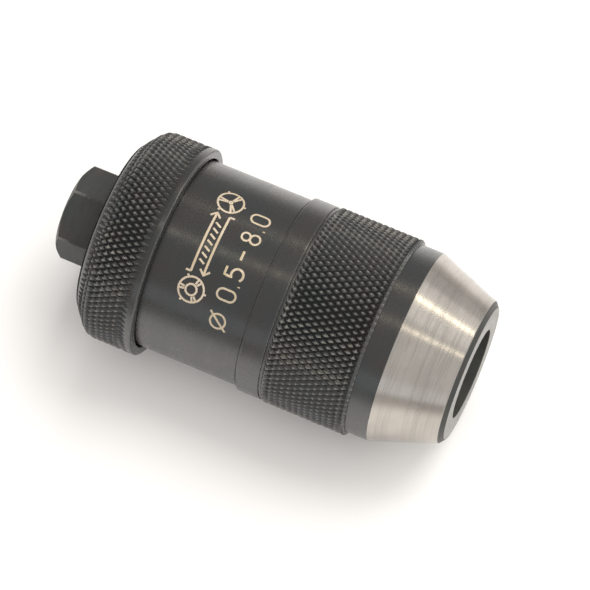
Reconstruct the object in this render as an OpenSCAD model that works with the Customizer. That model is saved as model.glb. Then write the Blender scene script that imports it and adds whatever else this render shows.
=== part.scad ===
// Keyless drill chuck with a threaded spindle socket.
// The chuck's axis is X. The origin is the mouth of the spindle thread, and the nose points along +X.
// The jaws are drawn fully open, with their tips inside the nose.

/* [Outside] */
// Diameter of the rear grip ring over its knurl
grip_d = 38.3; // [37:0.1:48]
// Length of the grip ring
grip_l = 12; // [10:0.1:15]
// Diameter of the smooth sleeve
sleeve_d = 34.4; // [34:0.1:36]
// Length of smooth sleeve between the grip ring and the collar
sleeve_show = 19; // [16:0.1:24]
// Diameter of the collar at the front of the sleeve
collar_d = 35.6; // [35:0.1:38]
// Length of the collar
collar_l = 4.1; // [2:0.1:8]
// Diameter of the hood over its knurl
hood_d = 36; // [35:0.1:44]
// Length of the hood's knurl
knurl_l = 16; // [12:0.1:20]
// Diameter of the smooth band in front of the knurl
band_d = 34.5; // [34:0.1:36]
// Length of the smooth band
band_l = 4; // [2:0.1:6]
// Diameter of the ground cone at its small end
cone_d = 26.2; // [24:0.1:28]
// Length of the ground cone
cone_l = 11.2; // [9:0.1:14]
// Width of the chamfer around the front face
nose_chamfer = 1; // [0.5:0.1:1.6]
// Axial length of that chamfer
nose_chamfer_l = 0.8; // [0.4:0.1:1.2]

/* [Hub and spindle socket] */
// Width of the hexagon boss across its flats
boss_af = 15; // [13:0.1:16]
// Length of the hexagon boss
boss_l = 6.9; // [5:0.1:10]
// Length of round hub seen between the hexagon and the grip ring
seat_show = 1; // [0.5:0.1:2]
// Diameter of the hub under the grip ring
seat_d = 18.8; // [18.6:0.1:19.6]
// Diameter of the spindle thread's wall
thread_d = 8.5; // [6:0.1:9.5]
// Depth of the spindle socket
socket_depth = 14; // [11:0.1:16]
// Metal left between the socket and the screw's bore
web_l = 3.6; // [2:0.1:5]
// Diameter of the journal that the sleeve turns on
journal_d = 20.4; // [20:0.1:21.6]
// Diameter of the hub's barrel in front of the flange
barrel_d = 22; // [16:0.1:26]

/* [Bearing] */
// Diameter of the thrust balls
ball_d = 2.5; // [1.8:0.1:2.8]
// Number of thrust balls
ball_n = 16; // [10:1:18]
// Thickness of each thrust race
race_t = 1.5; // [1.2:0.1:2.5]
// Thickness of the ball cage
cage_t = 1.2; // [0.8:0.1:1.4]
// Thickness of the hub's thrust flange
flange_t = 4.5; // [3:0.1:6]
// Wall of the bronze bush
bush_t = 0.95; // [0.8:0.05:1.2]

/* [Jaws and screw] */
// Largest shank that the open jaws take
capacity = 8.1; // [6:0.1:8.5]
// Angle between the chuck's axis and the jaws' slide
jaw_angle = 20; // [18:0.5:21]
// Width of each jaw
jaw_w = 5.6; // [4.5:0.1:6]
// Length of each jaw's gripping edge
jaw_l = 18; // [15:0.1:20]
// How far the open jaws' tips sit behind the front face
jaw_depth = 5; // [4:0.1:7]
// Diameter of the opening in the nose
mouth_d = 16.2; // [14:0.1:18]
// Travel of the draw screw from open to closed
screw_travel = 11; // [8:0.1:11.5]
// Diameter of the draw screw
screw_d = 10.9; // [8:0.1:13]
// Diameter of the draw screw's slotted head
head_d = 22; // [21:0.1:22.6]
// Thickness of the slotted head
head_t = 6.5; // [5.5:0.1:8]

/* [Fits] */
// Radial clearance of turning and sliding fits
run_fit = 0.05; // [0.02:0.01:0.08]
// Clearance between faces that pass each other
gap = 0.1; // [0.1:0.05:0.3]
// Radial gap between the grip ring's lip and the sleeve
lip_gap = 0.35; // [0.2:0.05:0.6]

/* [Hidden] */
$fn = 96;
eps = 0.01;

// Stations along the axis, from the spindle end to the nose
x_grip = boss_l + seat_show;
x_grip_end = x_grip + grip_l;
x_collar = x_grip_end + sleeve_show;
x_joint = x_collar + collar_l;
joint_t = 0.5;
x_hood = x_joint + joint_t;
x_band = x_hood + knurl_l - joint_t;
x_cone = x_band + band_l;
x_chamfer = x_cone + cone_l;
x_nose = x_chamfer + nose_chamfer_l;

// Grip ring: wall behind the sleeve, then a cup over it
grip_wall = 5;
x_cup = x_grip + grip_wall;
cup_r = sleeve_d / 2 + lip_gap;
shoulder = 3.65;
shoulder_l = 2.3;
// The shoulder rounds over into the knurl: [below the knurl, past the shoulder]
shoulder_round = [[0.85, 0], [0.2, 0.9], [0, 1.8]];
grip_edge = 0.5;

// Sleeve, bush and thrust bearing
washer_t = 0.6;
x_sleeve = x_cup + washer_t + gap;
journal_r = journal_d / 2;
bush_or = journal_r + run_fit + bush_t;
sleeve_wall_l = 6.9;
x_rear_race = x_sleeve + sleeve_wall_l;
groove_r = ball_d / 2 + run_fit;
cage_edge = 0.5;
ball_circle_r = journal_r + cage_edge + groove_r;
race_gap = 0.76 * ball_d;
x_ball = x_rear_race + race_t + race_gap / 2;
x_front_race = x_ball + race_gap / 2;
x_flange = x_front_race + race_t;
x_barrel = x_flange + flange_t;
race_ir = journal_r + 0.15;
race_edge = 0.65;
flange_r = ball_circle_r + ball_d / 2 + race_edge;
bore_play = 0.3;
bore_r = flange_r + bore_play;
bush_l = 3.9;
seal_w = 1.44;
seal_play = 0.03;
seal_r = bush_or - seal_play - seal_w / 2;
x_seal = x_sleeve + 1.4;

// Jaws: each slides down a line that starts at the edge of the mouth
mouth_r = mouth_d / 2;
x_tip = x_nose - jaw_depth;
x_jaw = x_tip - jaw_l;
grip_r = capacity / 2;
jaw_back_r = 5.5;
tee_r = 9;
tee_l = 3.6;
tee_w = 5;
tee_t = 2;
neck_w = 2.6;
neck_l = 2;
jaw_bevel = 1.2;

// Draw screw and its bore in the hub
x_head = x_jaw - gap;
x_head_back = x_head - head_t;
head_room = 0.5;
x_stem_end = x_head_back - head_room;
x_bore = socket_depth + web_l;
screw_r = screw_d / 2;
screw_room = 1;
screw_back = x_bore + screw_room;

// Hood and jaw guide
guide_seat = 1.2;
guide_r = bore_r + guide_seat;
spigot_wall = 0.8;
spigot_r = guide_r + spigot_wall;
spigot_l = 6.5;
x_spigot_end = x_joint + spigot_l;
shim_t = 0.5;
x_guide = x_spigot_end + shim_t;
x_full_cone = x_nose - (guide_r - mouth_r) / tan(jaw_angle);
cavity_r = head_d / 2 + 0.2;
x_cavity_end = x_head + screw_travel + head_room;
guide_front = 3.5;
guide_bore_r = grip_r + 0.35;
guide_bore_edge = 1;
slot_w = jaw_w + 2 * run_fit;

// Round keys
key_d = 2;
ring_key_l = 4.1;
guide_key_l = 4;

black = [0.10, 0.10, 0.11];
bright = [0.72, 0.70, 0.67];
dark_steel = [0.33, 0.33, 0.34];
bronze = [0.66, 0.47, 0.24];
seal_black = [0.05, 0.05, 0.05];

// ---- Helpers ----

// Stands what is drawn along Z on the chuck's axis
module along_axis(x = 0) {
    rotate([0, 90, 0]) translate([0, 0, x]) children();
}

// A turned shape from [radius, station] points
module turned(outline) {
    along_axis() rotate_extrude() polygon(outline);
}

// A plain ring between two stations
module ring(outer, inner, x0, x1) {
    turned([[inner, x0], [outer, x0], [outer, x1], [inner, x1]]);
}

// A round hole or rod on the axis
module rod(r, x0, x1) {
    along_axis(x0) cylinder(r = r, h = x1 - x0);
}

// Three copies around the axis
module three(turn = 0) {
    for (k = [0 : 2]) rotate([turn + k * 120, 0, 0]) children();
}

// Three axial keys on a circle, between two stations
module keys(circle_r, x0, x1) {
    three() translate([0, 0, circle_r]) rod(key_d / 2, x0, x1);
}

// ---- Held still on the spindle ----

module boss() {
    corner_r = boss_af / 2 / cos(30);
    face_r = boss_af / 2 - 0.2;
    past_r = corner_r + 0.3;
    rise = (past_r - face_r) * tan(30);
    intersection() {
        along_axis() cylinder(r = corner_r, h = boss_l + eps, $fn = 6);
        turned([[0, 0], [face_r, 0], [past_r, rise], [past_r, boss_l + 1], [0, boss_l + 1]]);
    }
}

module hub() {
    barrel_r = barrel_d / 2;
    seat_r = seat_d / 2;
    thread_r = thread_d / 2;
    edge = 0.6;
    seat_edge = 0.3;
    sink_l = edge * tan(30);
    color(black) difference() {
        union() {
            boss();
            turned([
                [0, boss_l], [seat_r - seat_edge, boss_l], [seat_r, boss_l + seat_edge], [seat_r, x_cup],
                [journal_r, x_cup], [journal_r, x_flange], [flange_r, x_flange],
                [flange_r, x_barrel], [barrel_r, x_barrel], [barrel_r, x_stem_end - edge],
                [barrel_r - edge, x_stem_end], [0, x_stem_end],
            ]);
        }
        rod(thread_r, -eps, socket_depth);
        turned([[0, -eps], [thread_r + edge, -eps], [thread_r + edge, 0], [thread_r, sink_l], [0, sink_l]]);
        rod(screw_r + run_fit, x_bore, x_stem_end + eps);
        ring(journal_r + 1, seal_r - seal_w / 2 - seal_play, x_seal - gap, x_seal + seal_w + gap);
        keys(seat_r, x_grip, x_grip + ring_key_l);
    }
}

module grip_ring() {
    r = grip_d / 2;
    lip_r = r - grip_edge;
    seat_r = seat_d / 2;
    color(black) difference() {
        turned([
            [seat_r, x_grip], [r - shoulder, x_grip],
            for (p = shoulder_round) [r - p[0], x_grip + shoulder_l + p[1]],
            [r, x_grip_end - grip_edge], [lip_r, x_grip_end], [cup_r, x_grip_end],
            [cup_r, x_cup], [seat_r, x_cup],
        ]);
        keys(seat_r, x_grip - eps, x_grip + ring_key_l);
    }
}

module ring_keys() {
    color(dark_steel) keys(seat_d / 2, x_grip, x_grip + ring_key_l);
}

module wave_washer() {
    color(dark_steel) ring(sleeve_d / 2 - 1, journal_r + 0.2, x_cup, x_cup + washer_t);
}

module hub_seal() {
    color(seal_black) along_axis(x_seal + seal_w / 2)
        rotate_extrude() translate([seal_r, 0]) circle(d = seal_w, $fn = 48);
}

module race(x_face, x_back) {
    difference() {
        ring(flange_r, race_ir, min(x_face, x_back), max(x_face, x_back));
        along_axis(x_ball) rotate_extrude() translate([ball_circle_r, 0]) circle(r = groove_r, $fn = 48);
    }
}

module front_race() {
    color(dark_steel) race(x_front_race, x_flange);
}

// ---- Balls and cage, which turn at half the sleeve's speed ----

module ball_places() {
    for (k = [0 : ball_n - 1]) rotate([k * 360 / ball_n, 0, 0]) translate([x_ball, 0, ball_circle_r]) children();
}

module ball_cage() {
    color(bronze) difference() {
        ring(flange_r - gap, race_ir, x_ball - cage_t / 2, x_ball + cage_t / 2);
        ball_places() along_axis(-cage_t) cylinder(r = groove_r, h = 2 * cage_t, $fn = 48);
    }
}

module thrust_balls() {
    color(bright) ball_places() sphere(d = ball_d, $fn = 32);
}

// ---- Turned by hand ----

module rear_race() {
    color(dark_steel) race(x_rear_race + race_t, x_rear_race);
}

module sleeve_bush() {
    color(bronze) ring(bush_or, journal_r + run_fit, x_rear_race - bush_l, x_rear_race);
}

module sleeve() {
    r = sleeve_d / 2;
    rc = collar_d / 2;
    edge = 0.4;
    collar_edge = 0.2;
    color(black) turned([
        [bush_or, x_sleeve], [r - edge, x_sleeve], [r, x_sleeve + edge], [r, x_collar],
        [rc - collar_edge, x_collar], [rc, x_collar + collar_edge], [rc, x_joint], [spigot_r, x_joint],
        [spigot_r, x_spigot_end], [bore_r, x_spigot_end], [bore_r, x_rear_race], [bush_or, x_rear_race],
    ]);
}

module joint_ring() {
    set_in = 0.25;
    color(black) ring(min(collar_d, hood_d) / 2 - set_in, spigot_r, x_joint, x_hood);
}

module hood() {
    r = hood_d / 2;
    rb = band_d / 2;
    rc = cone_d / 2;
    edge = 0.3;
    color(black) difference() {
        turned([
            [spigot_r, x_hood], [r - edge, x_hood], [r, x_hood + edge], [r, x_band - edge],
            [r - edge, x_band], [rb, x_band], [rb, x_cone], [rc, x_chamfer],
            [rc - nose_chamfer, x_nose], [mouth_r, x_nose], [guide_r, x_full_cone],
            [guide_r, x_spigot_end], [spigot_r, x_spigot_end],
        ]);
        keys(guide_r, x_spigot_end - eps, x_guide + guide_key_l);
    }
}

module guide_shim() {
    color(bright) ring(guide_r, bore_r, x_spigot_end, x_guide);
}

// The slot that a jaw slides in: open outwards and to the front, closed behind the jaw
module jaw_slot() {
    x_slot = x_jaw - gap;
    translate([x_slot, -slot_w / 2, 0]) cube([x_nose - x_slot, slot_w, guide_r + 2]);
}

module jaw_guide() {
    x_front = x_nose - guide_front;
    cone_r = mouth_r + guide_front * tan(jaw_angle);
    color(dark_steel) difference() {
        turned([
            [cavity_r, x_guide], [guide_r, x_guide], [guide_r, x_full_cone], [cone_r, x_front],
            [guide_bore_r + guide_bore_edge, x_front], [guide_bore_r, x_front - guide_bore_edge],
            [guide_bore_r, x_cavity_end],
            [cavity_r, x_cavity_end],
        ]);
        three(60) jaw_slot();
        keys(guide_r, x_guide - eps, x_guide + guide_key_l);
    }
}

module guide_keys() {
    color(bright) keys(guide_r, x_guide, x_guide + guide_key_l);
}

// ---- Pushed by the screw ----

// A T section along the radius, grown on every side by a clearance
module tee(inner, outer, play) {
    half_neck = neck_w / 2 + play;
    half_head = tee_w / 2 + play;
    translate([x_jaw - neck_l - gap - play, -half_neck, inner])
        cube([neck_l + gap + play + eps, 2 * half_neck, outer - inner]);
    translate([x_jaw - neck_l - gap - tee_t - play, -half_head, inner])
        cube([tee_t + 2 * play, 2 * half_head, outer - inner]);
}

module draw_screw() {
    reach = screw_travel * tan(jaw_angle);
    slot_end = tee_r - tee_l / 2 - reach - 3 * gap;
    edge = 1;
    color(dark_steel) difference() {
        turned([
            [0, screw_back], [screw_r - edge, screw_back], [screw_r, screw_back + edge],
            [screw_r, x_head_back], [head_d / 2, x_head_back], [head_d / 2, x_head], [0, x_head],
        ]);
        three(60) tee(slot_end, head_d, run_fit);
    }
}

// A jaw stands over the axis, with its gripping edge along the underside
module jaw() {
    vee = jaw_w / 2 / tan(60);
    long = 2 * x_nose;
    slide = [0, 90 + jaw_angle, 0];
    top = sqrt(pow(guide_r - gap, 2) - pow(jaw_w / 2, 2));
    tip_top = mouth_r + jaw_depth * tan(jaw_angle);
    intersection() {
        // Back: rounded, parallel to the slide and just inside the hood's cone
        translate([x_nose, 0, mouth_r]) rotate(slide) union() {
            translate([jaw_back_r + run_fit, 0, -long / 2]) cylinder(r = jaw_back_r, h = long);
            translate([jaw_back_r + run_fit, -jaw_w / 2, -long / 2]) cube([4 * jaw_back_r, jaw_w, long]);
        }
        // Front and rear faces, flanks and the two faces that meet at the gripping edge
        translate([x_jaw, 0, 0]) rotate([90, 0, 90]) linear_extrude(jaw_l) polygon([
            [0, grip_r], [jaw_w / 2, grip_r + vee], [jaw_w / 2, top],
            [-jaw_w / 2, top], [-jaw_w / 2, grip_r + vee],
        ]);
        // Bevels on the tip, below and above
        rotate([90, 0, 0]) linear_extrude(2 * jaw_w, center = true) polygon([
            [x_jaw - 1, 0], [x_tip - jaw_bevel, 0], [x_tip - jaw_bevel, grip_r],
            [x_tip, grip_r + jaw_bevel], [x_tip, tip_top - 2 * jaw_bevel],
            [x_tip - 3 * jaw_bevel, tip_top + jaw_bevel], [x_jaw - 1, tip_top + 2 * guide_r],
        ]);
    }
    tee(tee_r - tee_l / 2, tee_r + tee_l / 2, 0);
}

module jaw_1() {
    color(bright) rotate([60, 0, 0]) jaw();
}

module jaw_2() {
    color(bright) rotate([180, 0, 0]) jaw();
}

module jaw_3() {
    color(bright) rotate([300, 0, 0]) jaw();
}

hub();
grip_ring();
ring_keys();
wave_washer();
hub_seal();
front_race();
rear_race();
ball_cage();
thrust_balls();
sleeve_bush();
sleeve();
joint_ring();
hood();
guide_shim();
jaw_guide();
guide_keys();
draw_screw();
jaw_1();
jaw_2();
jaw_3();
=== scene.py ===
"""Keyless drill chuck: turned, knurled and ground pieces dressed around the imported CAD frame.

The chuck's axis is X, with the nose along +X. Stations and radii are in millimetres.
"""

import math

import bpy
import numpy as np
from mathutils import Matrix, Vector


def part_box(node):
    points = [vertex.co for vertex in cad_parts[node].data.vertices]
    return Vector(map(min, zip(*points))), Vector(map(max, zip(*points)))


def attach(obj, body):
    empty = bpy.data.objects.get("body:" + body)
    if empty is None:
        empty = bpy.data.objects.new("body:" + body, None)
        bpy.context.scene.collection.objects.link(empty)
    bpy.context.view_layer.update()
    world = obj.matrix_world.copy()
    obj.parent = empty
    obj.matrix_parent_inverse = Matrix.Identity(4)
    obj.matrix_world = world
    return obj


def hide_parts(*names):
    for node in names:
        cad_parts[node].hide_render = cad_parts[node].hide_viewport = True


MM = 0.001
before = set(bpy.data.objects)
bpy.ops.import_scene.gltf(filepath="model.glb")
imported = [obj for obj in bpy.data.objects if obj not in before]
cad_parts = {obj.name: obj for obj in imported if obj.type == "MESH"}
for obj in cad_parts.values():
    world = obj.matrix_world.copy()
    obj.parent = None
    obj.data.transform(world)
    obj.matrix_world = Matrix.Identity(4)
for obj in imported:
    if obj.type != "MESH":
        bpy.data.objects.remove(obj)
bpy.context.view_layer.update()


def ends(node):
    """The stations where a CAD node starts and stops along the axis."""
    low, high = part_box(node)
    return low.x / MM, high.x / MM


def widest(node):
    """The radius that a CAD node reaches."""
    low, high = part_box(node)
    return max(-low.y, high.y, -low.z, high.z) / MM


# ---- Sizes ----

X_RING, X_RING_END = ends("grip_ring")
X_WASHER, X_SLEEVE = ends("wave_washer")[0], ends("sleeve")[0]
X_JOINT, X_HOOD = ends("joint_ring")
X_SPIGOT_END = ends("sleeve")[1]
X_NOSE = ends("hood")[1]
X_REAR_RACE = ends("rear_race")[0]
X_FLANGE = ends("front_race")[1]
X_STEM_END = ends("hub")[1]

BOSS_L = 6.9
BOSS_FLATS = 15.0
BOSS_CORNER_R = BOSS_FLATS / 2 / math.cos(math.radians(30))
SEAT_R = 9.4
JOURNAL_R = 10.2
FLANGE_R = widest("hub")
BARREL_R = 11.0
INCH = 25.4
THREADS_PER_INCH = 24
THREAD_MINOR_R = 4.25
THREAD_PITCH = INCH / THREADS_PER_INCH
THREAD_DEPTH = 0.48 * THREAD_PITCH
THREAD_MAJOR_R = THREAD_MINOR_R + THREAD_DEPTH
SINK = 0.6
SOCKET_L = 14.0
SCREW_BORE_R = 5.5
FLANGE_L = 4.5
X_SCREW_BORE = 17.6

RING_R = widest("grip_ring")
CUP_R = 17.55
SLEEVE_R = 17.2
COLLAR_R = widest("sleeve")
COLLAR_L = 4.1
BORE_R = 14.2
SPIGOT_R = 16.2
BUSH_R = widest("sleeve_bush")

HOOD_R = widest("hood")
BAND_R = 17.25
BAND_L = 4.0
CONE_L = 11.2
CONE_SMALL_R = 13.1
FACE_R = 12.1
FACE_CHAMFER_L = 0.8
MOUTH_R = 8.1
JAW_SLOPE = math.tan(math.radians(20))
GUIDE_R = widest("jaw_guide")
X_CHAMFER = X_NOSE - FACE_CHAMFER_L
X_CONE = X_CHAMFER - CONE_L
X_BAND = X_CONE - BAND_L
X_FULL_CONE = X_NOSE - (GUIDE_R - MOUTH_R) / JAW_SLOPE

KEY_COUNT = 3
KEY_R = 1.0
BEFORE = 1.0
STEPS = 208
WELD = 0.000001

# The same knurling wheels cut both grips: columns around, rows along, depth of groove, flat on each peak.
RING_COLUMNS = 200
HOOD_COLUMNS = 188
KNURL_ROW = 1.09
KNURL_DEPTH = 0.46
KNURL_FLAT = 0.18


# ---- Modelling helpers ----


def edit(piece):
    """Opens one piece in edit mode with vertices as what is selected."""
    bpy.ops.object.select_all(action="DESELECT")
    piece.select_set(True)
    bpy.context.view_layer.objects.active = piece
    bpy.ops.object.mode_set(mode="EDIT")
    bpy.ops.mesh.select_mode(type="VERT")


def close_edit():
    """Goes back to object mode."""
    bpy.ops.object.mode_set(mode="OBJECT")


def places(piece):
    """Every vertex of a piece as rows of station, radius and angle from +Z towards -Y, in mm and radians."""
    co = np.zeros(len(piece.data.vertices) * 3)
    piece.data.vertices.foreach_get("co", co)
    x, y, z = co.reshape(-1, 3).T / MM
    return x, np.hypot(y, z), np.arctan2(-y, z)


def pick(piece, chosen):
    """Selects the vertices that a true or false list names, and stays in edit mode."""
    if bpy.context.mode != "OBJECT":
        close_edit()
    mesh = piece.data
    mesh.polygons.foreach_set("select", np.zeros(len(mesh.polygons), bool))
    mesh.edges.foreach_set("select", np.zeros(len(mesh.edges), bool))
    mesh.vertices.foreach_set("select", np.asarray(chosen, bool))
    edit(piece)


def eased(outline):
    """A closed outline with a small round at each corner that has an ease as its third number.

    A point just past the round on each side keeps the flats beside it flat.
    """
    past = 2.2
    points = []
    for i, corner in enumerate(outline):
        at = Vector(corner[:2])
        ease = corner[2] if len(corner) > 2 else 0
        if not ease:
            points.append(at)
            continue
        back = (Vector(outline[i - 1][:2]) - at).normalized()
        on = (Vector(outline[(i + 1) % len(outline)][:2]) - at).normalized()
        points.append(at + back * ease * past)
        for t in (0, 0.5, 1):
            points.append((at + back * ease).lerp(at, t).lerp(at.lerp(at + on * ease, t), t))
        points.append(at + on * ease * past)
    return points


def turned(name, points, steps=STEPS, closed=True):
    """A turned piece: its outline is pulled out point by point and spun about the axis."""
    bpy.ops.object.select_all(action="DESELECT")
    bpy.ops.mesh.primitive_plane_add(size=MM)
    piece = bpy.context.object
    piece.name = piece.data.name = name
    edit(piece)
    bpy.ops.mesh.select_all(action="SELECT")
    bpy.ops.mesh.merge(type="CENTER")
    at = Vector((0, 0))
    chain = list(points) + ([points[0]] if closed else [])
    for i, point in enumerate(chain):
        step = (Vector(point[:2]) - at) * MM
        move = (step.x, 0, step.y)
        if i == 0:
            bpy.ops.transform.translate(value=move)
        else:
            bpy.ops.mesh.extrude_vertices_move(TRANSFORM_OT_translate={"value": move})
        at = Vector(point[:2])
    bpy.ops.mesh.select_all(action="SELECT")
    bpy.ops.mesh.remove_doubles(threshold=WELD)
    bpy.ops.mesh.spin(steps=steps, angle=math.tau, center=(0, 0, 0), axis=(1, 0, 0))
    tidy_mesh()
    close_edit()
    return piece


def tidy_mesh():
    """In edit mode: welds doubles and points every face outwards."""
    bpy.ops.mesh.select_all(action="SELECT")
    bpy.ops.mesh.remove_doubles(threshold=WELD)
    bpy.ops.mesh.dissolve_degenerate(threshold=WELD)
    bpy.ops.mesh.select_all(action="SELECT")
    bpy.ops.mesh.normals_make_consistent(inside=False)


def cut(piece, tool, how="DIFFERENCE"):
    """Joins, cuts or crosses a piece with a tool shape, which is used up."""
    modifier = piece.modifiers.new("cut", "BOOLEAN")
    modifier.operation = how
    modifier.solver = "EXACT"
    modifier.object = tool
    bpy.ops.object.select_all(action="DESELECT")
    piece.select_set(True)
    bpy.context.view_layer.objects.active = piece
    bpy.ops.object.modifier_apply(modifier=modifier.name)
    bpy.data.objects.remove(tool)


def rod(name, x0, x1, r, circle_r=0.0, turn=0.0, sides=32):
    """A rod along the axis, or beside it at a circle's radius and an angle."""
    bpy.ops.object.select_all(action="DESELECT")
    middle = ((x0 + x1) / 2 * MM, -circle_r * math.sin(turn) * MM, circle_r * math.cos(turn) * MM)
    bpy.ops.mesh.primitive_cylinder_add(
        vertices=sides, radius=r * MM, depth=(x1 - x0) * MM, location=middle, rotation=(0, math.pi / 2, 0)
    )
    piece = bpy.context.object
    piece.name = piece.data.name = name
    bpy.ops.object.transform_apply(location=True, rotation=True, scale=True)
    return piece


def drill_keys(piece, circle_r, x0, x1):
    """Drills the three round keyways that a seat shares with its neighbour."""
    for k in range(KEY_COUNT):
        cut(piece, rod("key_drill", x0, x1, KEY_R, circle_r, math.tau * k / KEY_COUNT))


def walk(points, pitch):
    """Points spaced evenly along a line of points, about a pitch apart."""
    slack = 1e-9
    line = [Vector(p[:2]) for p in points]
    lengths = [(b - a).length for a, b in zip(line, line[1:])]
    count = round(sum(lengths) / pitch)
    spaced = []
    for i in range(count + 1):
        left = sum(lengths) * i / count
        for a, b, length in zip(line, line[1:], lengths):
            if left <= length + slack:
                spaced.append(a.lerp(b, left / length))
                break
            left -= length
    return spaced


def knurl(piece, rows, steps, depth, flat, fade):
    """Crosses two sets of grooves over rows of points: every other point sinks, and each peak gets a flat.

    With a fade, the grooves run out at the first and the last row.
    """
    near = 0.01
    x, r, angle = places(piece)
    column = np.rint(angle / (math.tau / steps)).astype(int) % steps
    row = np.full(len(x), -1)
    for k, point in enumerate(rows):
        row[np.hypot(x - point[0], r - point[1]) < near] = k
    odd = (row + column) % 2 == 1
    inside = (row >= fade) & (row < len(rows) - fade)
    pick(piece, inside & odd)
    bpy.ops.transform.shrink_fatten(value=-depth * MM)
    pick(piece, (row >= 0) & odd)
    bpy.ops.mesh.vert_connect()
    pick(piece, (row >= 2 * fade) & (row < len(rows) - 2 * fade) & ~odd)
    bpy.ops.transform.shrink_fatten(value=depth * flat / (1 - flat) * MM)
    pick(piece, inside & ~odd)
    bpy.ops.mesh.bevel(offset_type="PERCENT", offset_pct=100 * flat, affect="VERTICES")
    close_edit()


def place(piece, name):
    """Names a piece and makes it the only one chosen."""
    piece.name = piece.data.name = name
    bpy.ops.object.select_all(action="DESELECT")
    piece.select_set(True)
    bpy.context.view_layer.objects.active = piece


def from_frame(node, name):
    """A copy of a CAD node with its loose triangles merged into whole faces."""
    flat_within = math.radians(0.5)
    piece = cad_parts[node].copy()
    piece.data = piece.data.copy()
    piece.data.materials.clear()
    bpy.context.scene.collection.objects.link(piece)
    place(piece, name)
    edit(piece)
    bpy.ops.mesh.select_all(action="SELECT")
    bpy.ops.mesh.remove_doubles(threshold=WELD)
    bpy.ops.mesh.dissolve_limited(angle_limit=flat_within)
    bpy.ops.mesh.select_all(action="SELECT")
    bpy.ops.mesh.normals_make_consistent(inside=False)
    close_edit()
    return piece


def soften(piece, width):
    """Breaks a piece's sharp edges with a small round."""
    sharp = math.radians(30)
    place(piece, piece.name)
    modifier = piece.modifiers.new("broken_edges", "BEVEL")
    modifier.width = width * MM
    modifier.segments = 2
    modifier.limit_method = "ANGLE"
    modifier.angle_limit = sharp
    modifier.use_clamp_overlap = True
    bpy.ops.object.modifier_apply(modifier=modifier.name)


def rim_faces(piece, margin):
    """Adds a loop of points just inside every large flat face, so that wear stays along its edges."""
    large = (6 * margin * MM) ** 2
    place(piece, piece.name)
    mesh = piece.data
    mesh.vertices.foreach_set("select", np.zeros(len(mesh.vertices), bool))
    mesh.edges.foreach_set("select", np.zeros(len(mesh.edges), bool))
    mesh.polygons.foreach_set("select", [face.area > large for face in mesh.polygons])
    bpy.ops.object.mode_set(mode="EDIT")
    bpy.ops.mesh.select_mode(type="FACE")
    bpy.ops.mesh.inset(thickness=margin * MM, use_individual=True)
    close_edit()


# ---- Pieces ----


def make_grip_ring():
    """The ring held still while the sleeve turns: conical shoulder, knurl, smooth lip and a cup over it."""
    shoulder_r, shoulder_l, ease = 15.5, 3.0, 1.15
    rim_l, lip_l, lip_sink_l, lip_sink = 0.75, 1.15, 0.25, 0.4
    run_out = 0.1
    corner_x = X_RING + shoulder_l
    knurl_from, knurl_to = X_RING + rim_l, X_RING_END - lip_l
    slope = (RING_R - shoulder_r) / (corner_x - X_RING)
    back = Vector((X_RING - corner_x, shoulder_r - RING_R)).normalized() * ease
    corner = Vector((corner_x, RING_R))
    first = Vector((knurl_from, shoulder_r + slope * (knurl_from - X_RING)))
    on = Vector((ease, 0))
    curve_steps = 5
    curve = []
    for k in range(curve_steps + 1):
        t = k / curve_steps
        curve.append((corner + back).lerp(corner, t).lerp(corner.lerp(corner + on, t), t))
    rows = walk([first] + curve + [Vector((knurl_to, RING_R))], KNURL_ROW)
    outline = eased([(X_WASHER, SEAT_R), (X_RING, SEAT_R, 0.15), (X_RING, shoulder_r, 0.12)])
    outline += rows
    outline += eased([
        (knurl_to + run_out, RING_R), (X_RING_END - lip_sink_l, RING_R, 0.15),
        (X_RING_END, RING_R - lip_sink, 0.12),
        (X_RING_END, CUP_R, 0.15), (X_WASHER, CUP_R),
    ])
    piece = turned("grip_ring_knurled", outline, RING_COLUMNS)
    drill_keys(piece, SEAT_R, X_RING - BEFORE, ends("ring_keys")[1])
    knurl(piece, rows, RING_COLUMNS, KNURL_DEPTH, KNURL_FLAT, fade=1)
    return piece


def make_wave_washer():
    """A thin spring washer with three waves, lying between the ring and the sleeve."""
    thick, waves, ease = 0.3, 3, 0.04
    inner_r, outer_r = JOURNAL_R + 0.1, widest("wave_washer")
    low, high = ends("wave_washer")
    middle = (low + high) / 2
    swing = (high - low) / 2 - thick / 2
    back, front = middle - thick / 2, middle + thick / 2
    piece = turned("wave_washer_sprung", eased([
        (back, inner_r, ease), (back, outer_r, ease), (front, outer_r, ease), (front, inner_r, ease),
    ]), steps=96)
    x, r, angle = places(piece)
    for vertex, turn in zip(piece.data.vertices, angle):
        vertex.co.x += swing * math.cos(waves * turn) * MM
    return piece


def make_sleeve():
    """The smooth turned sleeve: its collar with a groove behind it, and the spigot that carries the hood."""
    x_collar = X_JOINT - COLLAR_L
    groove_l, groove_r = 0.4, SLEEVE_R - 0.2
    return turned("sleeve_turned", eased([
        (X_SLEEVE, BUSH_R), (X_SLEEVE, SLEEVE_R, 0.3), (x_collar - groove_l, SLEEVE_R, 0.05),
        (x_collar - groove_l, groove_r), (x_collar, groove_r), (x_collar, COLLAR_R, 0.12),
        (X_JOINT, COLLAR_R, 0.12), (X_JOINT, SPIGOT_R),
        (X_SPIGOT_END, SPIGOT_R, 0.3), (X_SPIGOT_END, BORE_R, 0.2), (X_REAR_RACE, BORE_R),
        (X_REAR_RACE, BUSH_R),
    ]))


def make_joint_ring():
    """The narrow ring squeezed between the sleeve's collar and the hood."""
    return turned("joint_ring_turned", eased([
        (X_JOINT, SPIGOT_R), (X_JOINT, widest("joint_ring"), 0.09), (X_HOOD, widest("joint_ring"), 0.09),
        (X_HOOD, SPIGOT_R),
    ]))


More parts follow.
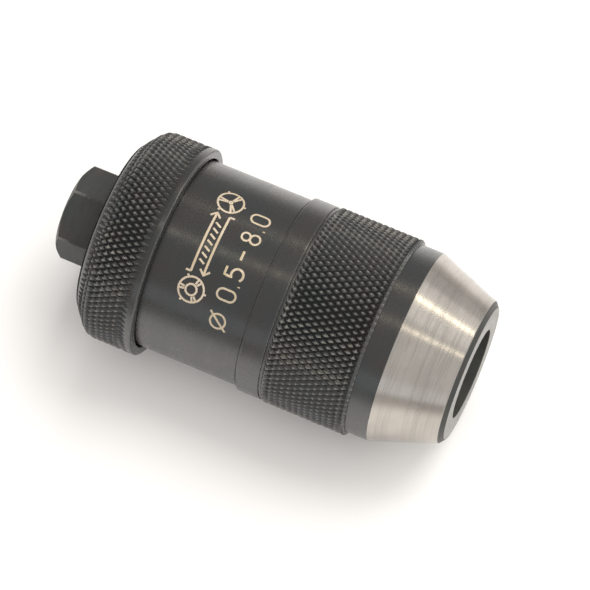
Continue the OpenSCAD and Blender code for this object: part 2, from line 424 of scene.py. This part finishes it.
def make_hood():
    """The hood's knurled grip and smooth band."""
    foot_r = HOOD_R - KNURL_DEPTH
    chamfer, rim_l, rim_sink = 0.45, 0.05, 0.25
    start, end = X_HOOD + chamfer, X_BAND - chamfer
    rows = walk([Vector((start, HOOD_R)), Vector((end, HOOD_R))], KNURL_ROW)
    outline = [
        (X_SPIGOT_END, SPIGOT_R), (X_HOOD, SPIGOT_R), (X_HOOD, foot_r - rim_sink), (X_HOOD + rim_l, foot_r),
    ]
    outline += rows
    outline += eased([
        (X_BAND, foot_r), (X_BAND, BAND_R), (X_CONE, BAND_R, 0.06),
        (X_CONE, MOUTH_R + (X_NOSE - X_CONE) * JAW_SLOPE), (X_FULL_CONE, GUIDE_R), (X_SPIGOT_END, GUIDE_R),
    ])
    piece = turned("hood_knurled", outline, HOOD_COLUMNS)
    drill_keys(piece, GUIDE_R, X_SPIGOT_END - BEFORE, ends("guide_keys")[1])
    knurl(piece, rows, HOOD_COLUMNS, KNURL_DEPTH, KNURL_FLAT, fade=0)
    return piece


def make_nose():
    """The ground cone, its dark chamfer and the bright front face."""
    return turned("nose_ground", eased([
        (X_CONE, BAND_R, 0.06), (X_CHAMFER, CONE_SMALL_R, 0.06), (X_NOSE, FACE_R, 0.06),
        (X_NOSE, MOUTH_R, 0.12), (X_CONE, MOUTH_R + (X_NOSE - X_CONE) * JAW_SLOPE),
    ]))


def make_hub():
    """The hub: hexagon boss with a threaded socket, ring seat, bearing journal, flange and screw barrel."""
    seal_x, seal_l, seal_floor = 14.9, 1.64, 9.7
    hub = turned("hub_threaded", eased([
        (BOSS_L, 0), (BOSS_L, SEAT_R, 0.25), (X_WASHER, SEAT_R),
        (X_WASHER, JOURNAL_R), (seal_x, JOURNAL_R), (seal_x, seal_floor), (seal_x + seal_l, seal_floor),
        (seal_x + seal_l, JOURNAL_R), (X_FLANGE, JOURNAL_R), (X_FLANGE, FLANGE_R, 0.15),
        (X_FLANGE + FLANGE_L, FLANGE_R, 0.15), (X_FLANGE + FLANGE_L, BARREL_R),
        (X_STEM_END, BARREL_R, 0.5), (X_STEM_END, SCREW_BORE_R, 0.3), (X_SCREW_BORE, SCREW_BORE_R),
        (X_SCREW_BORE, 0),
    ]), steps=144, closed=False)
    cut(hub, make_boss(), "UNION")
    sink_l = SINK * math.tan(math.radians(30))
    sink_before = BEFORE / 2
    outer_r = THREAD_MINOR_R + SINK * (1 + sink_before / sink_l)
    cut(hub, turned("socket_drill", [
        (-sink_before, 0), (-sink_before, outer_r), (sink_l, THREAD_MINOR_R),
        (SOCKET_L, THREAD_MINOR_R), (SOCKET_L, 0),
    ], steps=90, closed=False))
    half_mouth, half_floor, inner_r = 0.44, 0.07, THREAD_MINOR_R - 0.1
    run_in, turns = 1.5 * THREAD_PITCH, 14
    cut(hub, coil("thread_tap", -run_in, [
        (-half_mouth, inner_r), (-half_floor, THREAD_MAJOR_R),
        (half_floor, THREAD_MAJOR_R), (half_mouth, inner_r),
    ], THREAD_PITCH, turns))
    drill_keys(hub, SEAT_R, X_RING, ends("ring_keys")[1])
    return hub


def make_boss():
    """A hexagon with softened corners and a conical chamfer on its rear face, corners up and down."""
    spare, corner_break, margin = BEFORE / 2, 0.25, 0.25
    boss = rod("boss", -spare, BOSS_L + spare, BOSS_CORNER_R, sides=6)
    edit(boss)
    bpy.ops.mesh.select_all(action="SELECT")
    bpy.ops.transform.rotate(value=math.pi / 2, orient_axis="X", center_override=(0, 0, 0))
    close_edit()
    mesh = boss.data
    for flag in (mesh.vertices, mesh.polygons):
        flag.foreach_set("select", np.zeros(len(flag), bool))
    for side in mesh.edges:
        a, b = (mesh.vertices[i].co for i in side.vertices)
        side.select = abs(a.x - b.x) > MM
    bpy.context.tool_settings.mesh_select_mode = (False, True, False)
    bpy.ops.object.mode_set(mode="EDIT")
    bpy.ops.mesh.bevel(offset=corner_break * MM, segments=3)
    close_edit()
    face_r, past_r = 7.3, BOSS_CORNER_R + 0.3
    rise = (past_r - face_r) * math.tan(math.radians(30))
    cut(boss, turned("boss_chamfer", [
        (0, 0), (0, THREAD_MINOR_R + SINK + margin), (0, face_r - margin), (0, face_r), (rise, past_r),
        (BOSS_L + 2 * spare, past_r), (BOSS_L + 2 * spare, 0),
    ], steps=144, closed=False), "INTERSECT")
    rim_faces(boss, 0.2)
    return boss


def coil(name, x0, profile, lead, turns, steps=48):
    """A closed helical bar: its profile of stations and radii is screwed along the axis.

    Turns below zero make it left-hand.
    """
    piece = turned(name, profile, steps=0)
    screw = piece.modifiers.new("screw", "SCREW")
    screw.axis = "X"
    screw.angle = math.tau * math.copysign(1, turns)
    screw.screw_offset = lead * MM
    screw.iterations = abs(turns)
    screw.steps = screw.render_steps = steps
    screw.use_merge_vertices = False
    bpy.ops.object.select_all(action="DESELECT")
    piece.select_set(True)
    bpy.context.view_layer.objects.active = piece
    bpy.ops.object.modifier_apply(modifier=screw.name)
    edit(piece)
    bpy.ops.mesh.select_all(action="SELECT")
    bpy.ops.transform.translate(value=(x0 * MM, 0, 0))
    bpy.ops.mesh.fill_holes(sides=len(profile))
    tidy_mesh()
    close_edit()
    return piece


def make_draw_screw():
    """The screw that draws the jaws: a left-hand thread of two starts on its stem, and a slotted head."""
    piece = from_frame("draw_screw", "draw_screw_threaded")
    soften(piece, 0.12)
    rim_faces(piece, 0.15)
    stem_r, root_r = 5.45, 4.75
    outer_r = stem_r + 0.1
    lead, starts = 4.0, 2
    x_stem, x_head = ends("draw_screw")[0], 45.4
    half_mouth, half_root = 0.62, 0.28
    turns = math.ceil((x_head - x_stem) / lead)
    for k in range(starts):
        cut(piece, coil("thread_cutter", x_stem - lead + k * lead / starts, [
            (-half_mouth, outer_r), (-half_root, root_r), (half_root, root_r), (half_mouth, outer_r),
        ], lead, -turns))
    return piece


def make_jaw_guide():
    """The guide that turns with the sleeve and holds the jaws in its three slots."""
    piece = from_frame("jaw_guide", "jaw_guide_slotted")
    soften(piece, 0.12)
    rim_faces(piece, 0.15)
    return piece


def make_jaw(k):
    """One gripping jaw with its edges broken."""
    piece = from_frame(f"jaw_{k}", f"jaw_{k}_ground")
    soften(piece, 0.1)
    rim_faces(piece, 0.12)
    return piece


# ---- Marks ----


def arc(u, v, radius, start=0, end=360, points=24):
    """Points around a circle in the flat plan of a mark, from one angle in degrees to another."""
    turns = [math.radians(start + (end - start) * k / points) for k in range(points + 1)]
    return [(u + radius * math.cos(t), v + radius * math.sin(t)) for t in turns]


def spoke(u, v, turn, inner, outer):
    """A radial line of a jaw sign."""
    along = (math.cos(math.radians(turn)), math.sin(math.radians(turn)))
    return [(u + along[0] * inner, v + along[1] * inner), (u + along[0] * outer, v + along[1] * outer)]


def jaw_sign(u, gap):
    """A ring with three jaws that leave a gap in the middle."""
    ring_r, jaw_r, tick_from, tick_to = 2.25, 2.2, 2.3, 2.75
    jaws, half_jaw = 3, 9
    shank_r = max(gap - 0.25, 0.2)
    strokes = [arc(u, 0, ring_r)]
    for k in range(jaws):
        turn = 90 + 360 // jaws * k
        strokes.append(spoke(u, 0, turn - half_jaw, gap, jaw_r))
        strokes.append(spoke(u, 0, turn + half_jaw, gap, jaw_r))
        strokes.append(spoke(u, 0, turn + 180, tick_from, tick_to))
    strokes.append(arc(u, 0, shank_r, points=12))
    return strokes


def turning_signs():
    """Open jaws, two arrows that say which way to turn, and closed jaws."""
    sign_u, open_gap, closed_gap = 8.6, 1.25, 0.5
    half, rise, head = 5.6, 1.15, 0.9
    hatch_pitch, hatch_u, hatch_v = 1.15, 0.3, 0.55
    strokes = jaw_sign(-sign_u, open_gap) + jaw_sign(sign_u, closed_gap)
    for side in (1, -1):
        tip, level = side * half, side * rise
        high, low = side * (rise + head), side * (rise - head)
        strokes.append([(-tip, level), (tip, level)])
        strokes.append([(tip - side * head, high), (tip, level), (tip - side * head, low)])
        strokes.append([(-tip, level), (-tip, high)])
    for k in range(-3, 4):
        strokes.append([(k * hatch_pitch - hatch_u, -hatch_v), (k * hatch_pitch + hatch_u, hatch_v)])
    return strokes


def capacity_figures():
    """The shank sizes that the jaws take, in plain figures."""
    tall, wide = 3.3, 0.95
    zero = arc(0, tall - wide, wide, 0, 180, 10) + arc(0, wide, wide, 180, 360, 10)
    zero.append(zero[0])
    five = [(0.8, tall), (-0.65, tall), (-0.75, 1.95)] + arc(-0.1, 1.15, 1.05, 120, -140, 14)
    eight = [arc(0, tall - 0.78, 0.76), arc(0, 0.88, 0.88)]
    point = [[(-0.1, 0.15), (0.1, 0.15)]]
    dash = [[(-0.85, tall / 2), (0.85, tall / 2)]]
    bore = [arc(0, tall / 2, 1.35), [(-1.5, -0.05), (1.5, tall + 0.05)]]
    line = [
        (bore, -10.9), ([zero], -6.0), (point, -4.0), ([five], -2.1),
        (dash, 1.2), (eight, 4.6), (point, 6.6), ([zero], 8.6),
    ]
    return [[(u + step, v) for u, v in stroke] for strokes, step in line for stroke in strokes]


def short_steps(stroke, longest):
    """A stroke with points added, so that no step is longer than a limit."""
    points = [stroke[0]]
    for a, b in zip(stroke, stroke[1:]):
        count = math.ceil(math.dist(a, b) / longest)
        for k in range(1, count + 1):
            points.append((a[0] + (b[0] - a[0]) * k / count, a[1] + (b[1] - a[1]) * k / count))
    return points


def lay_mark(name, strokes, x_foot, middle):
    """Draws a mark's strokes as thin flat wires and lays them round the sleeve.

    The mark's foot lies at a station, and its middle is turned from the top.
    """
    stroke_r, proud, longest = 0.21, 0.1, 0.4
    bpy.ops.object.select_all(action="DESELECT")
    wires = []
    for stroke in strokes:
        points = [(-v, u) for u, v in short_steps(stroke, longest)]
        wires.append(turned("wire", points, steps=0, closed=False))
    for wire in wires:
        wire.select_set(True)
    bpy.ops.object.join()
    piece = bpy.context.object
    place(piece, name)
    bpy.ops.object.convert(target="CURVE")
    piece = bpy.context.object
    piece.data.bevel_depth = stroke_r * MM
    piece.data.bevel_resolution = 1
    piece.data.use_fill_caps = True
    bpy.ops.object.convert(target="MESH")
    piece = bpy.context.object
    place(piece, name)
    for vertex in piece.data.vertices:
        v, w, u = vertex.co / MM
        turn = middle - u / SLEEVE_R
        r = SLEEVE_R + w * proud
        vertex.co = Vector((x_foot + v, -math.sin(turn) * r, math.cos(turn) * r)) * MM
    edit(piece)
    bpy.ops.mesh.select_all(action="SELECT")
    bpy.ops.mesh.normals_make_consistent(inside=False)
    close_edit()
    return piece


def make_turning_mark():
    """The signs for opening and closing, laid nearer the boss."""
    x_foot, middle = 27.65, math.radians(9)
    return lay_mark("turning_mark", turning_signs(), x_foot, middle)


def make_capacity_mark():
    """The figures, laid nearer the nose."""
    x_foot, middle = 35.3, math.radians(13)
    return lay_mark("capacity_mark", capacity_figures(), x_foot, middle)


# ---- Finishes ----


def add(tree, kind, sockets=(), **settings):
    """Adds a node with its settings, and fills its sockets with values or with other nodes' outputs."""
    made = tree.nodes.new(kind)
    for name, value in settings.items():
        setattr(made, name, value)
    for key, value in dict(sockets).items():
        if isinstance(value, bpy.types.NodeSocket):
            tree.links.new(value, made.inputs[key])
        else:
            made.inputs[key].default_value = value
    return made


def blend(tree, amount, first, second):
    """Mixes two colours."""
    return add(tree, "ShaderNodeMix", {0: amount, 6: first, 7: second}, data_type="RGBA").outputs[2]


def spread(tree, value, low, high, to_low=0.0, to_high=1.0):
    """Stretches one range of a value over another, and holds it there."""
    sockets = {0: value, 1: low, 2: high, 3: to_low, 4: to_high}
    return add(tree, "ShaderNodeMapRange", sockets).outputs[0]


def noise(tree, vector, scale, detail):
    """Smooth noise of a scale in lumps to the millimetre."""
    return add(tree, "ShaderNodeTexNoise", {"Vector": vector, "Scale": scale, "Detail": detail}).outputs[0]


def finish(
    name, tone, drift, rough, bare=(0.5, 0.48, 0.45), metallic=1.0, ior=1.5, lay=1.0, depth=1.5,
    anisotropic=0.0, worn=(0.35, 0.75),
):
    """A finish with a drifting tone, fine turning lines and worn edges.

    The depth of the lines is in thousandths of a millimetre. The lay is 1 for lines turned about the axis,
    and 0 for lines ground along it. The first number of worn says how proud an edge stands before it wears,
    and the second how bare it gets.
    """
    stretch = 0.05
    cloud_scale, grain_scale, band_scale, line_scale = 0.16, 3.2, 0.9, 6.0
    cloud_low, cloud_high = 0.38, 0.62
    streak_low, streak_high, streak_share, streak_tone = 0.22, 0.34, 0.55, 0.72
    matte_low, matte_high = 0.75, 1.25
    chip_share, wear_low, wear_range = 0.9, 0.45 + worn[0], 0.6
    bump_strength = 0.6
    finished = bpy.data.materials.new(name)
    finished.use_nodes = True
    tree = finished.node_tree
    shader = tree.nodes["Principled BSDF"]
    spot = add(tree, "ShaderNodeTexCoord").outputs["Object"]
    mm = add(tree, "ShaderNodeVectorMath", {0: spot, "Scale": 1 / MM}, operation="SCALE").outputs[0]
    axes = add(tree, "ShaderNodeSeparateXYZ", {0: mm})
    across = add(tree, "ShaderNodeCombineXYZ", {1: axes.outputs[1], 2: axes.outputs[2]}).outputs[0]
    radius = add(tree, "ShaderNodeVectorMath", {0: across}, operation="LENGTH").outputs["Value"]
    if lay:
        slow = add(tree, "ShaderNodeMath", {0: axes.outputs[1], 1: stretch}, operation="MULTIPLY").outputs[0]
        path = add(tree, "ShaderNodeCombineXYZ", {0: axes.outputs[0], 1: radius, 2: slow}).outputs[0]
    else:
        slow = add(tree, "ShaderNodeMath", {0: axes.outputs[0], 1: stretch}, operation="MULTIPLY").outputs[0]
        path = add(tree, "ShaderNodeCombineXYZ", {0: slow, 1: axes.outputs[1], 2: axes.outputs[2]})
        path = path.outputs[0]
    clouds = noise(tree, mm, cloud_scale, detail=5.0)
    grain = noise(tree, mm, grain_scale, detail=3.0)
    bands = noise(tree, path, band_scale, detail=2.0)
    lines = noise(tree, path, line_scale, detail=2.0)
    colour = blend(tree, spread(tree, clouds, cloud_low, cloud_high), (*tone, 1), (*drift, 1))
    darker = tuple(c * streak_tone for c in tone)
    streaks = add(tree, "ShaderNodeMath", {0: lines, 1: bands}, operation="MULTIPLY").outputs[0]
    streaks = spread(tree, streaks, streak_low, streak_high, 0.0, streak_share)
    colour = blend(tree, streaks, colour, (*darker, 1))
    matte = add(tree, "ShaderNodeMath", {0: bands, 1: grain}, operation="ADD").outputs[0]
    roughness = spread(tree, matte, matte_low, matte_high, rough[0], rough[1])
    edge = add(tree, "ShaderNodeAttribute", attribute_name="wear").outputs["Fac"]
    chips = add(tree, "ShaderNodeMath", {0: grain, 1: chip_share, 2: edge}, operation="MULTIPLY_ADD")
    wear = spread(tree, chips.outputs[0], wear_low, wear_low + wear_range, 0.0, worn[1])
    tree.links.new(blend(tree, wear, colour, (*bare, 1)), shader.inputs["Base Color"])
    if metallic < 1:
        tree.links.new(spread(tree, wear, 0.0, 1.0, metallic, 1.0), shader.inputs["Metallic"])
    else:
        shader.inputs["Metallic"].default_value = metallic
    tree.links.new(roughness, shader.inputs["Roughness"])
    shader.inputs["IOR"].default_value = ior
    if anisotropic:
        shader.inputs["Anisotropic"].default_value = anisotropic
        shader.inputs["Anisotropic Rotation"].default_value = 0.25
        tangent = add(tree, "ShaderNodeTangent", direction_type="RADIAL", axis="X")
        tree.links.new(tangent.outputs[0], shader.inputs["Tangent"])
    relief = add(tree, "ShaderNodeMath", {0: lines, 1: grain}, operation="ADD").outputs[0]
    sockets = {"Height": relief, "Strength": bump_strength, "Distance": depth * MM * MM}
    bump = add(tree, "ShaderNodeBump", sockets)
    tree.links.new(bump.outputs[0], shader.inputs["Normal"])
    return finished


LOOKS = {
    "black_oxide": dict(
        tone=(0.011, 0.014, 0.0135), drift=(0.017, 0.0135, 0.012), rough=(0.24, 0.34), metallic=0.0, ior=1.9,
        anisotropic=0.5, worn=(0.62, 0.5),
    ),
    "dull_oxide": dict(
        tone=(0.046, 0.051, 0.048), drift=(0.054, 0.050, 0.047), rough=(0.42, 0.52), metallic=0.0, ior=1.36,
        worn=(0.62, 0.5),
    ),
    "ground_steel": dict(
        tone=(0.49, 0.46, 0.42), drift=(0.44, 0.41, 0.375), rough=(0.2, 0.28), bare=(0.75, 0.73, 0.7),
        depth=0.5, anisotropic=0.7,
    ),
    "nose_face": dict(
        tone=(0.25, 0.26, 0.235), drift=(0.22, 0.215, 0.20), rough=(0.3, 0.4), bare=(0.5, 0.5, 0.48),
    ),
    "bored_steel": dict(tone=(0.15, 0.155, 0.14), drift=(0.11, 0.11, 0.10), rough=(0.35, 0.5), metallic=0.3),
    "dark_steel": dict(tone=(0.12, 0.12, 0.115), drift=(0.09, 0.085, 0.08), rough=(0.32, 0.5)),
    "hardened_steel": dict(tone=(0.45, 0.45, 0.46), drift=(0.38, 0.38, 0.40), rough=(0.18, 0.32)),
    "spring_steel": dict(tone=(0.36, 0.38, 0.43), drift=(0.30, 0.33, 0.40), rough=(0.25, 0.38)),
    "jaw_steel": dict(tone=(0.40, 0.39, 0.38), drift=(0.33, 0.32, 0.30), rough=(0.22, 0.4), lay=0.0),
    "polished_steel": dict(tone=(0.75, 0.75, 0.76), drift=(0.70, 0.70, 0.72), rough=(0.06, 0.12), depth=0.2),
    "cage_brass": dict(
        tone=(0.60, 0.41, 0.19), drift=(0.50, 0.33, 0.16), rough=(0.25, 0.4), bare=(0.75, 0.55, 0.3),
    ),
    "seal_rubber": dict(
        tone=(0.02, 0.02, 0.02), drift=(0.028, 0.027, 0.026), rough=(0.55, 0.75), bare=(0.06, 0.06, 0.06),
        metallic=0.0, depth=4.0, worn=(0.5, 0.3),
    ),
    "mark_gold": dict(
        tone=(0.62, 0.50, 0.33), drift=(0.70, 0.58, 0.46), rough=(0.45, 0.6), metallic=0.2,
        bare=(0.8, 0.72, 0.6),
    ),
}

FINISHES = {name: finish(name, **look) for name, look in LOOKS.items()}

CAD_FINISHES = {
    "hub": "black_oxide", "grip_ring": "black_oxide", "sleeve": "black_oxide", "joint_ring": "black_oxide",
    "hood": "black_oxide", "ring_keys": "hardened_steel", "wave_washer": "spring_steel",
    "hub_seal": "seal_rubber", "front_race": "hardened_steel", "rear_race": "hardened_steel",
    "ball_cage": "cage_brass", "thrust_balls": "polished_steel", "sleeve_bush": "cage_brass",
    "guide_shim": "spring_steel", "jaw_guide": "dark_steel", "guide_keys": "hardened_steel",
    "draw_screw": "hardened_steel", "jaw_1": "jaw_steel", "jaw_2": "jaw_steel", "jaw_3": "jaw_steel",
}


def wear_edges(piece, x_fresh):
    """Stores how far each point stands proud of its neighbours, for that is where a finish wears thin.

    Past a station nothing rubs on the piece, and its finish stays fresh.
    """
    rub_low, rub_range = 0.03, 0.15
    mesh = piece.data
    spots = np.zeros(len(mesh.vertices) * 3)
    normals = np.zeros(len(mesh.vertices) * 3)
    pairs = np.zeros(len(mesh.edges) * 2, int)
    mesh.vertices.foreach_get("co", spots)
    mesh.vertices.foreach_get("normal", normals)
    mesh.edges.foreach_get("vertices", pairs)
    spots, normals, pairs = spots.reshape(-1, 3), normals.reshape(-1, 3), pairs.reshape(-1, 2)
    proud, edges = np.zeros(len(spots)), np.zeros(len(spots))
    for here, there in (pairs.T, pairs.T[::-1]):
        step = spots[here] - spots[there]
        step /= np.maximum(np.linalg.norm(step, axis=1, keepdims=True), WELD)
        np.add.at(proud, here, np.sum(normals[here] * step, axis=1))
        np.add.at(edges, here, 1)
    wear = np.clip((proud / np.maximum(edges, 1) - rub_low) / rub_range, 0, 1)
    wear[spots[:, 0] > x_fresh * MM] = 0
    mesh.attributes.new("wear", "FLOAT", "POINT").data.foreach_set("value", wear)


def finish_nose(piece):
    """Leaves the cone ground, the chamfer and the mouth dark, and the front face bare."""
    ground, dark, bored, bare = range(4)
    mouth_slack, corner_slack, face_slack = 0.03, 0.02, 0.1
    for name in ("dull_oxide", "bored_steel", "nose_face"):
        piece.data.materials.append(FINISHES[name])
    for face in piece.data.polygons:
        x, r = face.center.x / MM, math.hypot(face.center.y, face.center.z) / MM
        if r < MOUTH_R + (X_NOSE - x) * JAW_SLOPE + mouth_slack:
            face.material_index = bored
        elif x > X_CHAMFER + corner_slack and r > FACE_R + corner_slack:
            face.material_index = dark
        elif x > X_CHAMFER + face_slack:
            face.material_index = bare
        else:
            face.material_index = ground


def dress(piece, node, body, slot, smooth=30, look=None, x_fresh=math.inf):
    """Puts a piece in its CAD node's place, with its slot's finish unless it has a look of its own."""
    place(piece, piece.name)
    bpy.ops.object.shade_smooth_by_angle(angle=math.radians(smooth))
    wear_edges(piece, x_fresh)
    piece.data.materials.append(FINISHES[look or slot])
    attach(piece, body)
    if node:
        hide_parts(node)


for node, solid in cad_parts.items():
    solid.data.materials.clear()
    solid.data.materials.append(FINISHES[CAD_FINISHES[node]])

fresh_l = 0.8
nose = make_nose()
dress(make_grip_ring(), "grip_ring", "spindle_side", "black_oxide", smooth=40)
dress(make_hub(), "hub", "spindle_side", "black_oxide", look="dull_oxide")
dress(make_wave_washer(), "wave_washer", "spindle_side", "spring_steel")
dress(make_sleeve(), "sleeve", "turning_side", "black_oxide")
dress(make_joint_ring(), "joint_ring", "turning_side", "black_oxide")
dress(make_hood(), "hood", "turning_side", "black_oxide", smooth=40, x_fresh=X_BAND - fresh_l)
dress(nose, "hood", "turning_side", "ground_steel")
finish_nose(nose)
dress(make_jaw_guide(), "jaw_guide", "turning_side", "dark_steel")
dress(make_draw_screw(), "draw_screw", "screw", "hardened_steel")
for k, body in enumerate(("jaw_one", "jaw_two", "jaw_three"), start=1):
    dress(make_jaw(k), f"jaw_{k}", body, "jaw_steel")
dress(make_turning_mark(), None, "turning_side", "mark_gold")
dress(make_capacity_mark(), None, "turning_side", "mark_gold")

# ---- Stage ----


def make_floor():
    """A pale sheet that touches the grip ring and the hood, as if the chuck lay on it, with a painted pool
    of light round the chuck.
    """
    width, middle_x, near, far = 6, 0.04, 0.08, 0.17
    near_tone, painted_falloff_tone = (0.93, 0.925, 0.92, 1), (0.46, 0.455, 0.45, 1)
    bpy.ops.object.select_all(action="DESELECT")
    bpy.ops.mesh.primitive_plane_add(size=width)
    floor = bpy.context.object
    floor.name = "floor"
    low_ring, low_hood = Vector((X_RING_END - 4, -RING_R)), Vector((X_BAND, -HOOD_R))
    slope = (low_hood.y - low_ring.y) / (low_hood.x - low_ring.x)
    floor.rotation_euler = (0, -math.atan(slope), 0)
    floor.location = (0, 0, (low_ring.y - slope * low_ring.x) * MM)
    paper = bpy.data.materials.new("pale_paper")
    paper.use_nodes = True
    tree = paper.node_tree
    shader = tree.nodes["Principled BSDF"]
    spot = add(tree, "ShaderNodeTexCoord").outputs["Object"]
    # Painted pool of light: the sheet's colour fades to a painted shade farther from the chuck, standing in
    # for light falling off.
    reach = add(tree, "ShaderNodeVectorMath", {0: spot, 1: (middle_x, 0, 0)}, operation="DISTANCE")
    distance = spread(tree, reach.outputs["Value"], near, far)
    tree.links.new(blend(tree, distance, near_tone, painted_falloff_tone), shader.inputs["Base Color"])
    shader.inputs["Roughness"].default_value = 0.95
    shader.inputs["Specular IOR Level"].default_value = 0.1
    floor.data.materials.append(paper)


def make_sky():
    """A soft room light that is brighter ahead of the nose."""
    behind, ahead, dim, bright = -0.3, 0.5, 0.34, 0.85
    world = bpy.data.worlds.new("studio")
    world.use_nodes = True
    tree = world.node_tree
    view = add(tree, "ShaderNodeTexCoord").outputs["Generated"]
    side = add(tree, "ShaderNodeSeparateXYZ", {0: view}).outputs[0]
    glow = tree.nodes["Background"]
    glow.inputs["Color"].default_value = (1.0, 0.985, 0.97, 1)
    tree.links.new(spread(tree, side, behind, ahead, dim, bright), glow.inputs["Strength"])
    bpy.context.scene.world = world


def make_lamp(name, toward, size, power, colour, gloss):
    """A soft panel one metre away. A gloss panel only shows in shiny surfaces, and the others only light."""
    aim = Vector((0.04, 0, 0))
    light = bpy.data.lights.new(name, "AREA")
    light.shape = "RECTANGLE"
    light.size, light.size_y = size
    light.energy = power
    light.color = colour
    lamp = bpy.data.objects.new(name, light)
    bpy.context.scene.collection.objects.link(lamp)
    back = Vector(toward).normalized()
    lamp.location = aim + back
    side = Vector((1, 0, 0)) - back * back.x
    side.normalize()
    up = back.cross(side)
    lamp.matrix_world = Matrix((
        (side.x, up.x, back.x, lamp.location.x), (side.y, up.y, back.y, lamp.location.y),
        (side.z, up.z, back.z, lamp.location.z), (0, 0, 0, 1),
    ))
    lamp.visible_camera = False
    lamp.visible_glossy = gloss
    lamp.visible_diffuse = not gloss


def make_camera():
    """The viewpoint, above and in front of the chuck with the nose to the right."""
    azimuth, elevation, distance = math.radians(24.11), math.radians(66.63), 0.6
    target = Vector((0.04125, 0.00182, -0.00186))
    level = math.cos(elevation)
    back = Vector((math.sin(azimuth) * level, -math.cos(azimuth) * level, math.sin(elevation)))
    camera = bpy.data.objects.new("camera", bpy.data.cameras.new("camera"))
    bpy.context.scene.collection.objects.link(camera)
    camera.location = target + back * distance
    camera.rotation_euler = (-back).to_track_quat("-Z", "Y").to_euler()
    camera.data.sensor_width = 36
    camera.data.lens = 212.3
    camera.data.clip_start = 0.01
    bpy.context.scene.camera = camera
    bpy.context.scene.view_settings.view_transform = "Standard"


WARM = (1.0, 0.90, 0.70)
COOL = (0.84, 0.90, 1.0)
DAYLIGHT = (1.0, 0.98, 0.95)
PAPER_WARM = (1.0, 0.95, 0.90)

make_floor()
make_sky()
make_lamp("key", (0.15, 0.50, 0.86), (0.7, 0.7), 6.5, DAYLIGHT, gloss=False)
make_lamp("fill", (0.2, -0.2, 1.0), (1.8, 1.8), 8.5, PAPER_WARM, gloss=False)
make_lamp("window", (0.30, 0.61, 0.70), (0.9, 0.055), 0.9, WARM, gloss=True)
make_lamp("glow", (0.50, 0.55, 0.66), (0.35, 0.9), 0.5, DAYLIGHT, gloss=True)
make_lamp("tube", (0.17, -0.01, 0.98), (1.2, 0.055), 0.55, WARM, gloss=True)
make_lamp("wall", (-0.05, -0.97, 0.25), (1.3, 0.35), 0.5, COOL, gloss=True)
make_camera()
